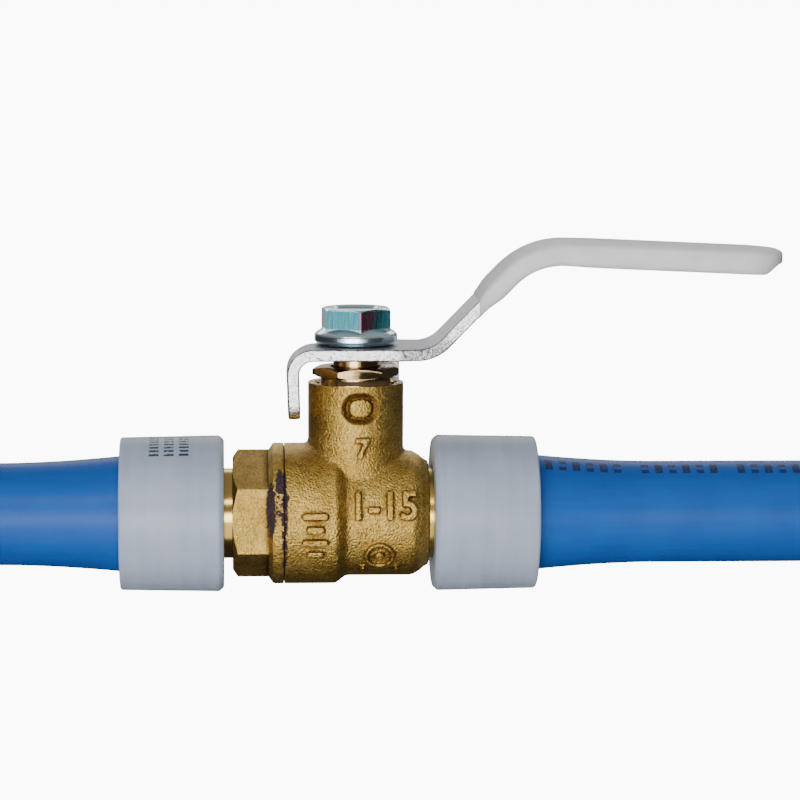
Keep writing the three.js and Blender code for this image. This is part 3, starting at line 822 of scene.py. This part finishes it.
def cast_body():
    """The rough casting grown from its turned and square parts, with its pocket and raised marks.
    """
    barrel = turned(
        [
            (barrel_start - 1.5, 0),
            (barrel_start - 1.5, BARREL_RADIUS),
            (barrel_end, BARREL_RADIUS),
            (barrel_end + BARREL_SLOPE, HUB_RADIUS),
            (hub_end_face - HUB_END_LENGTH, HUB_RADIUS),
            (hub_end_face - 1.2, HUB_RADIUS - 0.75),
            (hub_end_face - 0.5, HUB_RADIUS - 1.5),
            (hub_end_face - 0.1, BARB_RADIUS + 1.3),
            (hub_end_face + 0.6, BARB_RADIUS + 0.4),
            (hub_end_face + 0.6, 0),
        ],
        closed=False,
    )
    neck = turned([(0, 0), (0, NECK_RADIUS), (neck_top + 1.5, NECK_RADIUS), (neck_top + 1.5, 0)],
                  "Z", closed=False)
    lug = edged(block((0.2, NECK_RADIUS - 0.8, neck_top - 6.15),
                      (2.6, NECK_RADIUS + 3.33, neck_top - 0.85)), 0.35)
    rough = shaped(
        gathered(barrel, neck, lug),
        ("REMESH", {"mode": "VOXEL", "voxel_size": 0.3}),
        ("SMOOTH", {"factor": 0.5, "iterations": 9}),
    )
    rough = combined(rough, neck_recess(), "DIFFERENCE")
    cast = shaped(
        gathered(rough, body_marks()),
        ("REMESH", {"mode": "VOXEL", "voxel_size": 0.19}),
        ("SMOOTH", {"factor": 0.5, "iterations": 2}),
    )
    return cast


def waterway_cutter():
    """What facing and boring along X takes away."""
    far = BARREL_RADIUS + 3
    return turned(
        softened(
            [
                (barrel_start - 4, 0, 0),
                (barrel_start - 4, far, 0),
                (barrel_start, far, 0),
                (barrel_start, SOCKET_RADIUS + 0.3, 0),
                (barrel_start + 0.3, SOCKET_RADIUS, 0),
                (-5.45, SOCKET_RADIUS, 0),
                (-5.45, CHAMBER_RADIUS, 0),
                (5.6, CHAMBER_RADIUS, 0),
                (5.6, POCKET_RADIUS, 0),
                (7.77, POCKET_RADIUS, 0),
                (7.77, PORT_RADIUS, 0),
                (hub_end_face, PORT_RADIUS, 0),
                (hub_end_face, far, 0),
                (hub_end_face + 3, far, 0),
                (hub_end_face + 3, 0, 0),
            ]
        ),
        steps=96,
        closed=False,
    )


def stem_cutter():
    """What facing and boring up Z takes away, with the neck's thread as ridges."""
    far = NECK_RADIUS + 3
    thread = []
    low, high, pitch = 16.2, neck_top - 0.25, 0.75
    for turn in range(int((high - low) / pitch)):
        start = low + turn * pitch
        thread += [(start, NECK_THREAD_RADIUS - 0.25), (start + pitch / 2, NECK_THREAD_RADIUS)]
    return turned(
        [
            (0, 0),
            (0, 5.1),
            (10.2, 5.1),
            (10.2, 3.6),
            (11.7, 3.6),
            (11.7, PACKING_CHAMBER),
            (16.1, PACKING_CHAMBER),
            *thread,
            (neck_top - 0.3, NECK_THREAD_RADIUS),
            (neck_top, NECK_THREAD_RADIUS + 0.3),
            (neck_top, far),
            (neck_top + 4, far),
            (neck_top + 4, 0),
        ],
        "Z",
        96,
        closed=False,
    )


def make_body():
    cast = combined(cast_body(), waterway_cutter(), "DIFFERENCE")
    cast = combined(cast, stem_cutter(), "DIFFERENCE")
    brass = cast_brass("cast_brass_body", body_machined, body_residue, pocket_wall_shade)
    piece("valve_body_cast", cleaned(cast), FIXED, ["valve_body"], brass)
    end = body_high.x
    barb = turned([*barb_profile(hub_end_face), (end, PORT_RADIUS), (hub_end_face, PORT_RADIUS)])
    machined = turned_brass("turned_brass", "X")
    piece("valve_body_barb", barb, FIXED, ["valve_body"], machined)


# ---- End retainer ----


def make_retainer():
    """A hexagon, a collar and a threaded spigot on one barb."""
    corner = RETAINER_FLATS / math.sqrt(3)
    flats = RETAINER_FLATS / 2
    bar = hexagon(RETAINER_FLATS, retainer_face, hex_end + 0.2, math.pi / 2)
    turn = Matrix.Rotation(math.pi / 2, 4, "Y")
    bmesh.ops.transform(bar, matrix=turn, verts=bar.verts)
    inside_wall = 6.2
    envelope = turned(
        [
            (retainer_face, inside_wall),
            (retainer_face, flats),
            (retainer_face + 0.86, corner + 0.02),
            (hex_end + 0.2, corner + 0.02),
            (hex_end + 0.2, inside_wall),
        ]
    )
    hexed = edged(combined(bar, envelope, "INTERSECT"), 0.14)
    spigot_end = retainer_high.x
    thread = []
    pitch = 0.8
    for turn_number in range(int((spigot_end - collar_end - 0.6) / pitch)):
        start = collar_end + 0.3 + turn_number * pitch
        thread += [(start, 8.65), (start + pitch / 2, 8.9)]
    core = turned(
        [
            *[(-along, out) for along, out in reversed(barb_profile(-retainer_face)[1:])],
            (retainer_face + 0.15, BARB_RADIUS),
            (retainer_face + 0.3, flats - 1.2),
            (hex_end, flats - 1.2),
            (hex_end, corner - 0.15),
            (hex_end + 0.15, corner),
            (hex_end + COLLAR_SLOPE - 0.15, BARREL_RADIUS - 0.12),
            (hex_end + COLLAR_SLOPE + 0.2, BARREL_RADIUS),
            (collar_end - 0.15, BARREL_RADIUS),
            (collar_end, BARREL_RADIUS - 0.15),
            (collar_end, 8.65),
            *thread,
            (spigot_end, 8.7),
            (spigot_end, POCKET_RADIUS),
            (-7.77, POCKET_RADIUS),
            (-7.77, PORT_RADIUS),
            (retainer_low.x, PORT_RADIUS),
        ]
    )
    whole = combined(core, hexed, "UNION")
    brass = cast_brass("cast_brass_retainer", retainer_machined, retainer_residue)
    piece("end_retainer_brass", cleaned(whole), FIXED, ["end_retainer"], brass)


# ---- Expansion rings and tubing ----


def make_ring(side):
    """One expansion ring: a lip over the tube's end, round shoulders and a slight taper."""
    low, high = span(f"expansion_ring_{side}")
    inner, outer = (high.x, low.x) if side == "left" else (low.x, high.x)
    out = 1 if outer > inner else -1
    radius = high.z
    profile = softened(
        [
            (inner, BARB_RADIUS + 0.2, 0.35),
            (inner, radius - 0.7, 0.6),
            (inner + out * 0.75, radius - 0.02, 0.7),
            (outer, radius - 0.3, 0.45),
            (outer, 9.2, 0.25),
            (inner + out * 1.0, 9.1, 0),
            (inner + out * 1.0, BARB_RADIUS + 0.2, 0),
        ]
    )
    name = f"expansion_ring_{side}"
    piece(f"{name}_plastic", turned(profile), FIXED, [name], ring_finish)


def make_tube(side):
    """One length of tubing, stretched over the barb and flaring back to its own size."""
    low, high = span(f"pipe_{side}")
    ring_low, ring_high = span(f"expansion_ring_{side}")
    start, end = (high.x, low.x) if side == "left" else (low.x, high.x)
    ring_edge = ring_low.x if side == "left" else ring_high.x
    barb_tip = retainer_low.x if side == "left" else body_high.x
    out = 1 if end > start else -1
    wide, wide_bore = high.z, BARB_RADIUS + 0.45
    steps = 24
    flare = [(i / steps, (1 - i / steps) ** 1.7) for i in range(steps + 1)]
    reach = 18 * out
    outside = [(ring_edge + reach * a, TUBE_RADIUS + (wide - TUBE_RADIUS) * b) for a, b in flare]
    inside = [(barb_tip + reach * a, TUBE_BORE + (wide_bore - TUBE_BORE) * b) for a, b in flare]
    cut = [(end - out * 0.12, TUBE_RADIUS), (end, TUBE_RADIUS - 0.12), (end, TUBE_BORE)]
    profile = [(start, wide_bore), (start, wide), *outside, *cut, *reversed(inside)]
    name = f"pipe_{side}"
    piece(f"{name}_tubing", turned(profile), FIXED, [name], tube_finish)


# ---- Stem, packing nut, ball ----


def hex_nut(flats, low, high, facing, cut_bottom, chamfer):
    """A hexagon with its corners turned back at the top, and at the bottom if asked."""
    corner = flats / math.sqrt(3) + 0.02
    bottom = [(low, flats / 2), (low + chamfer, corner)] if cut_bottom else [(low, corner)]
    envelope = turned(
        [(low, 0), *bottom, (high - chamfer, corner), (high, flats / 2), (high, 0)],
        "Z",
        closed=False,
    )
    return combined(hexagon(flats, low, high, facing), envelope, "INTERSECT")


def make_packing_nut():
    hex_low, hex_high = packing_nut_high.z - 1.55, packing_nut_high.z
    nut = hex_nut(11.8, hex_low, hex_high, math.radians(-86), True, 0.42)
    bottom = packing_nut_low.z
    thread = []
    for turn_number in range(4):
        start = bottom + 1.0 + turn_number * 0.75
        thread += [(start, 5.65), (start + 0.37, 5.9)]
    shank = turned(
        [(bottom, 0), (bottom, 4.85), (bottom + 0.5, 4.85), (bottom + 0.5, 5.6), *thread,
         (hex_low - 0.5, 5.45), (hex_low + 0.6, 5.45), (hex_low + 0.6, 0)],
        "Z", closed=False,
    )
    bore = turned([(bottom - 1, 0), (bottom - 1, 3.62), (hex_high + 1, 3.62), (hex_high + 1, 0)],
                  "Z", closed=False)
    dish = turned([(hex_high - 0.35, 0), (hex_high - 0.35, 3.7), (hex_high + 0.1, 4.2),
                   (hex_high + 0.1, 0)], "Z", closed=False)
    whole = combined(combined(edged(nut, 0.1), shank, "UNION"), bore, "DIFFERENCE")
    whole = combined(whole, dish, "DIFFERENCE")
    brass = turned_brass("polished_brass", "Z", colour(0.72, 0.49, 0.25), 0.08, 2.0)
    evenly_lit(piece("packing_nut_brass", cleaned(whole), FIXED, ["packing_nut"],
                     brass))
    return brass


def make_stem(brass):
    """Collar and tang in the ball, a plain shaft, and a flatted threaded top."""
    shaft_top = lever_top - SHEET - 0.1
    thread = []
    pitch = 0.8
    low = shaft_top + 2.2
    for turn_number in range(int((stem_high.z - low - 0.4) / pitch)):
        start = low + turn_number * pitch
        thread += [(start, 2.7), (start + pitch / 2, STEM_TOP_RADIUS)]
    shaft = turned(
        [
            (7.95, 0),
            (7.95, 4.75),
            (8.1, 4.9),
            (9.35, 4.9),
            (9.5, 4.75),
            (9.5, STEM_RADIUS),
            (shaft_top - 0.2, STEM_RADIUS),
            (shaft_top, STEM_RADIUS - 0.2),
            (shaft_top, STEM_TOP_RADIUS),
            (low - 0.1, STEM_TOP_RADIUS),
            *thread,
            (stem_high.z - 0.3, 2.75),
            (stem_high.z, 2.45),
            (stem_high.z, 0),
        ],
        "Z",
        96,
        closed=False,
    )
    tang = edged(block((-1.45, -3.4, stem_low.z), (1.45, 3.4, 8.7)), 0.15)
    whole = combined(shaft, tang, "UNION")
    for side in (-1, 1):
        edge = sorted((side * 2.2, side * 6.0))
        flat = block((-6, edge[0], shaft_top), (6, edge[1], stem_high.z + 1))
        whole = combined(whole, flat, "DIFFERENCE")
    piece("stem_brass", cleaned(whole), TURNING, ["stem"], brass)


def make_ball():
    """A plated ball with its port along X and a slot for the stem across its top."""
    radius = ball_high.y
    face = math.asin(PORT_RADIUS / radius)
    count = 48
    arc = [face + (math.pi - 2 * face) * step / count for step in range(count + 1)]
    profile = [(radius * math.cos(a), radius * math.sin(a)) for a in arc]
    slot = block((-1.6, -9, 5.65), (1.6, 9, 9))
    whole = combined(turned(profile), slot, "DIFFERENCE")
    plated = plain("plated_brass", colour(0.7, 0.7, 0.68), colour(0.8, 0.8, 0.78), 4, 0.08, 1.0)
    piece("ball_plated", cleaned(whole), TURNING, ["ball"], plated)


# ---- Lever, grip and nut ----


class MiddleLine:
    """The middle of a bent sheet in X and Z: straight runs joined by round bends."""

    def __init__(self, corners, bends):
        self.runs = []
        start = Vector(corners[0])
        for i, corner in enumerate(corners[1:]):
            corner = Vector(corner)
            heading = (corner - start).normalized()
            if i == len(bends):
                self.add(start, heading, (corner - start).length, 0.0)
                break
            after = (Vector(corners[i + 2]) - corner).normalized()
            turn = math.atan2(heading.x * after.y - heading.y * after.x, heading.dot(after))
            setback = bends[i] * math.tan(abs(turn) / 2)
            self.add(start, heading, (corner - start).length - setback, 0.0)
            self.add(corner - heading * setback, heading, abs(turn) * bends[i], turn)
            start = corner + after * setback

    def add(self, start, heading, length, turn):
        begun = self.length
        self.runs.append((begun, length, start, heading, turn))

    @property
    def length(self):
        return self.runs[-1][0] + self.runs[-1][1] if self.runs else 0.0

    def at(self, along):
        """The point at a distance along the line, and the direction square to it."""
        run = next((r for r in self.runs if along <= r[0] + r[1]), self.runs[-1])
        begun, length, start, heading, turn = run
        part = along - begun
        square = Vector((-heading.y, heading.x))
        if not turn:
            return start + heading * part, square
        radius = length / turn
        centre = start + square * radius
        turned_by = Matrix.Rotation(turn * part / length, 2)
        return centre - turned_by @ square * radius, turned_by @ square

    def slices(self, spacing):
        """Distances along the bends at which a sheet is cut so that it can follow them."""
        found = []
        for begun, length, _, _, turn in self.runs:
            if turn:
                count = max(2, math.ceil(length / spacing))
                found += [begun + length * step / count for step in range(count + 1)]
        return found


def bent(bm, line, shift=0.0):
    """Bends a flat sheet, with X along it and Z through it, to follow a line."""
    for vert in bm.verts:
        point, square = line.at(vert.co.x + shift)
        point = point + square * vert.co.z
        vert.co = (point.x, vert.co.y, point.y)
    return bm


def blend(value, low, high):
    """0 below low, 1 above high and smooth between."""
    part = min(1, max(0, (value - low) / (high - low)))
    return part * part * (3 - 2 * part)


lever_top = nut_low.z - 0.1
lever_middle = lever_top - SHEET / 2
TAIL_X = lever_low.x + SHEET / 2
TAIL_LEAN = 0.35
TAIL_DROP = 10.1
RISE_FOOT = (11.9, lever_middle)
RISE_HEIGHT = 15.55
RISE_ANGLE = math.radians(45.7)
ARM_ANGLE = math.radians(-2.46)
CREST = (11.9 + RISE_HEIGHT / math.tan(RISE_ANGLE), lever_middle + RISE_HEIGHT)
ARM_REACH = lever_high.x - CREST[0]
TIP = (CREST[0] + ARM_REACH, CREST[1] + ARM_REACH * math.tan(ARM_ANGLE))


def make_lever():
    """The sheet cut flat as a blank, its edges broken, then bent at its three bends."""
    line = MiddleLine(
        [(TAIL_X + TAIL_LEAN, lever_middle - TAIL_DROP), (TAIL_X, lever_middle), RISE_FOOT,
         CREST, TIP],
        [3.0, 6.0, 12.0],
    )
    plate_run = line.runs[2]
    to_blank = plate_run[0] - plate_run[2].x
    half, arm = LEVER_WIDTH / 2, ARM_WIDTH / 2
    end = line.length - 0.02
    blank = softened(
        [
            (0.02, -half, 2.6),
            (to_blank + 6.5, -half, 4),
            (to_blank + 15, -arm, 6),
            (end, -arm, ARM_CORNER),
            (end, arm, ARM_CORNER),
            (to_blank + 15, arm, 6),
            (to_blank + 6.5, half, 4),
            (to_blank - 1.5, half, 1.5),
            (to_blank - 8.7, -0.1, 0.6),
            (0.02, -0.1, 1.6),
        ]
    )
    sheet = edged(filled(blank, SHEET), 0.3, segments=3)
    sheet = bent(sliced(sheet, line.slices(0.5)), line)
    ear = make_ear()
    whole = combined(sheet, ear, "UNION")
    hole = turned([(lever_top - 4, 0), (lever_top - 4, 3.15), (lever_top + 2, 3.15),
                   (lever_top + 2, 0)], "Z", 64, closed=False)
    flats = block((-5, -2.35, lever_top - 5), (5, 2.35, lever_top + 5))
    whole = combined(whole, combined(hole, flats, "INTERSECT"), "DIFFERENCE")
    steel = zinc_plate()
    evenly_lit(piece("lever_steel", cleaned(whole), TURNING, ["lever"], steel))
    return line


def make_ear():
    """The tab bent down from the back edge, beside the neck."""
    ear_outer = lever_high.y
    line = MiddleLine(
        [(LEVER_WIDTH / 2 - 2.2, lever_middle), (ear_outer - SHEET / 2, lever_middle),
         (ear_outer - SHEET / 2, lever_middle - 7.9)],
        [1.15],
    )
    bm = filled(
        softened([(0, -2.15, 0), (line.length, -2.15, 0.9), (line.length, 2.15, 0.9),
                  (0, 2.15, 0)]),
        SHEET - 0.02,
    )
    bm = bent(sliced(edged(bm, 0.22, segments=2), line.slices(0.3)), line)
    to_y = Matrix(((0, 1, 0, 5.05), (1, 0, 0, 0), (0, 0, 1, 0), (0, 0, 0, 1)))
    bmesh.ops.transform(bm, matrix=to_y, verts=bm.verts)
    bmesh.ops.recalc_face_normals(bm, faces=bm.faces)
    return bm


def make_grip():
    """A dipped sleeve round the arm: fat rounded edges, a level mouth and a drawn-up tip."""
    tip_heading = (Vector(TIP) - Vector(CREST)).normalized()
    line = MiddleLine([RISE_FOOT, CREST, Vector(TIP) + tip_heading * 1.25], [12.0])
    half = GRIP_WIDTH / 2 - 0.02
    end = line.length - 0.03
    corner = ARM_CORNER + 1.1
    blank = softened([(0, -half, 0.8), (end, -half, corner), (end, half, corner), (0, half, 0.8)],
                     10)
    bm = filled(blank, GRIP_THICKNESS - 0.02)
    rims = [e for e in bm.edges if e.calc_face_angle() > SHARP_EDGE]
    bmesh.ops.bevel(bm, geom=rims, offset=1.6, segments=6, profile=0.5, affect="EDGES",
                    material=-1, clamp_overlap=True)
    stretches = [line.length * step / 60 for step in range(1, 60)]
    tip_cuts = [end - 3.6 + step * 0.3 for step in range(12)]
    sliced(bm, sorted([*line.slices(0.6), *stretches, *tip_cuts]))
    mouth_along = (grip_low.x - RISE_FOOT[0]) / math.cos(RISE_ANGLE)
    crest_along = line.runs[1][0]
    for vert in bm.verts:
        along = vert.co.x
        thin = 1 - blend(along, mouth_along + 0.4, mouth_along + 4.2)
        lean = 1 - blend(along, crest_along, crest_along + 16)
        vert.co.z *= 1 - 0.25 * thin - 0.20 * lean
        vert.co.y *= 1 - 0.09 * thin - 0.03 * lean
        if vert.co.z < 0:
            vert.co.z *= 1 - 0.95 * blend(along, end - 3.4, end - 0.2)
    bm = bent(bm, line)
    mouth = grip_low.x + 0.02
    bm = combined(bm, block((-20, -20, 0), (mouth, 20, 60)), "DIFFERENCE")
    rim = [e for e in bm.edges if all(abs(v.co.x - mouth) < 0.01 for v in e.verts)]
    bmesh.ops.bevel(bm, geom=rim, offset=0.3, segments=3, profile=0.5, affect="EDGES",
                    material=-1, clamp_overlap=True)
    vinyl = grip_vinyl()
    piece("lever_grip_vinyl", cleaned(bm), TURNING, ["lever_grip"], vinyl)


def make_handle_nut():
    """A hexagon nut on a wide dished flange, with the stem's thread showing in its top."""
    low, high = nut_low.z, nut_high.z
    nut = edged(hex_nut(10.0, low + 1.0, high, math.radians(246), False, 0.36), 0.12)
    flange = turned(
        softened(
            [
                (low, 3.2, 0),
                (low, 5.9, 0.4),
                (low + 0.6, 6.44, 0.5),
                (low + 1.7, 6.44, 0.8),
                (low + 2.6, 5.1, 0.4),
                (low + 2.7, 4.4, 0),
                (low + 2.7, 3.2, 0),
            ]
        ),
        "Z",
    )
    bore = turned(
        [(low - 1, 0), (low - 1, 3.12), (high - 0.5, 3.12), (high + 0.1, 3.75), (high + 0.1, 0)],
        "Z",
        closed=False,
    )
    whole = combined(nut, flange, "UNION")
    whole = combined(whole, bore, "DIFFERENCE")
    evenly_lit(piece("handle_nut_steel", cleaned(whole), TURNING, ["handle_nut"],
                     blue_zinc()))


# ---- Room: floor, light and camera ----


def make_floor():
    """A plain white sheet under the valve, lit from within so that nothing shades it."""
    bm = bmesh.new()
    bmesh.ops.create_grid(bm, x_segments=1, y_segments=1, size=60)
    bmesh.ops.translate(bm, vec=(0, 0, -0.034), verts=bm.verts)
    mesh = bpy.data.meshes.new("floor")
    bm.to_mesh(mesh)
    bm.free()
    floor = bpy.data.objects.new("floor", mesh)
    bpy.context.scene.collection.objects.link(floor)
    finish = Finish(
        "floor",
        Base_Color=colour(0.9, 0.9, 0.9),
        Roughness=0.9,
        Emission_Color=colour(1, 1, 1),
        Emission_Strength=BACKDROP_STRENGTH,
    )
    mesh.materials.append(finish.material)
    floor.visible_diffuse = False
    floor.visible_glossy = False
    floor.visible_transmission = False
    floor.visible_shadow = False


def around(azimuth, elevation, distance):
    """A point seen from the valve at an azimuth and an elevation in degrees."""
    turn, lift = math.radians(azimuth), math.radians(elevation)
    flat = math.cos(lift)
    return Vector((math.cos(turn) * flat, math.sin(turn) * flat, math.sin(lift))) * distance


def make_light(name, azimuth, elevation, size, power):
    """A soft box facing the valve."""
    light = bpy.data.lights.new(name, "AREA")
    light.shape = "RECTANGLE"
    light.size, light.size_y = size
    light.energy = power
    obj = bpy.data.objects.new(name, light)
    place = around(azimuth, elevation, 0.65)
    obj.location = place
    obj.rotation_euler = (-place).to_track_quat("-Z", "Y").to_euler()
    bpy.context.scene.collection.objects.link(obj)


BACKDROP_STRENGTH = 10.0


def make_room():
    """A white backdrop, a soft ceiling and darkness below and to the sides."""
    world = bpy.data.worlds.new("room")
    bpy.context.scene.world = world
    world.use_nodes = True
    room = Graph(world.node_tree)
    coords = room.node("ShaderNodeTexCoord", {}, {}, "Generated")
    _, y, z = [room.node("ShaderNodeSeparateXYZ", {}, {0: coords}, axis) for axis in "XYZ"]
    ceiling = room.ramp(z, 0.0, 0.75)
    backdrop = room.ramp(y, 0.85, 0.97) * room.ramp(z, -0.3, -0.1)
    glow = 0.04 + ceiling * 0.31 + backdrop * 0.6
    seen = room.node("ShaderNodeLightPath", {}, {}, "Is Camera Ray")
    background = world.node_tree.nodes["Background"]
    background.inputs["Color"].default_value = colour(1, 1, 1)
    room.set(background.inputs["Strength"], seen * BACKDROP_STRENGTH + (1 - seen) * glow)


def make_camera():
    """A long lens a little above and left of square on, looking past the neck."""
    aim = Vector((6.9, 0, 17.68)) * MM
    distance = 0.5
    back = around(-93, 7, distance)
    camera = bpy.data.cameras.new("camera")
    camera.sensor_width = 36
    camera.lens = 36 * distance / 0.1244
    camera.clip_start, camera.clip_end = 0.01, 200
    obj = bpy.data.objects.new("camera", camera)
    obj.location = aim + back
    roll = Matrix.Rotation(math.radians(0.22), 4, "Z")
    turn = (-back).to_track_quat("-Z", "Y").to_matrix().to_4x4() @ roll
    obj.rotation_euler = turn.to_euler()
    bpy.context.scene.collection.objects.link(obj)
    bpy.context.scene.camera = obj


# ---- Making ----

make_camera()
make_room()
make_floor()
make_light("key", -101.5, -3, (0.45, 0.24), 3.2)
make_light("wide", -103, -2, (0.95, 0.18), 0.8)
make_light("upper", -105, 38, (0.42, 0.09), 1.1)
make_light("lower", -100, -38, (0.6, 0.5), 1.65)
make_light("back", 90, 31, (0.9, 0.18), 1.2)

ring_finish = ring_plastic()
tube_finish = tube_plastic()
make_body()
make_retainer()
for side in ("left", "right"):
    make_ring(side)
    make_tube(side)
polished = make_packing_nut()
make_stem(polished)
make_ball()
make_lever()
make_grip()
make_handle_nut()

SEAT_FINISH = plain("seat_plastic", colour(0.8, 0.8, 0.76), colour(0.86, 0.86, 0.83), 2, 0.4)
SEAL_FINISH = plain("seal_rubber", colour(0.02, 0.02, 0.02), colour(0.035, 0.035, 0.035), 1, 0.6)
for node, finish in {
    "seat_left": SEAT_FINISH,
    "seat_right": SEAT_FINISH,
    "stem_thrust_washer": SEAT_FINISH,
    "stem_packing_lower": SEAT_FINISH,
    "stem_packing_upper": SEAT_FINISH,
    "body_seal": SEAL_FINISH,
}.items():
    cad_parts[node].material_slots[0].material = finish
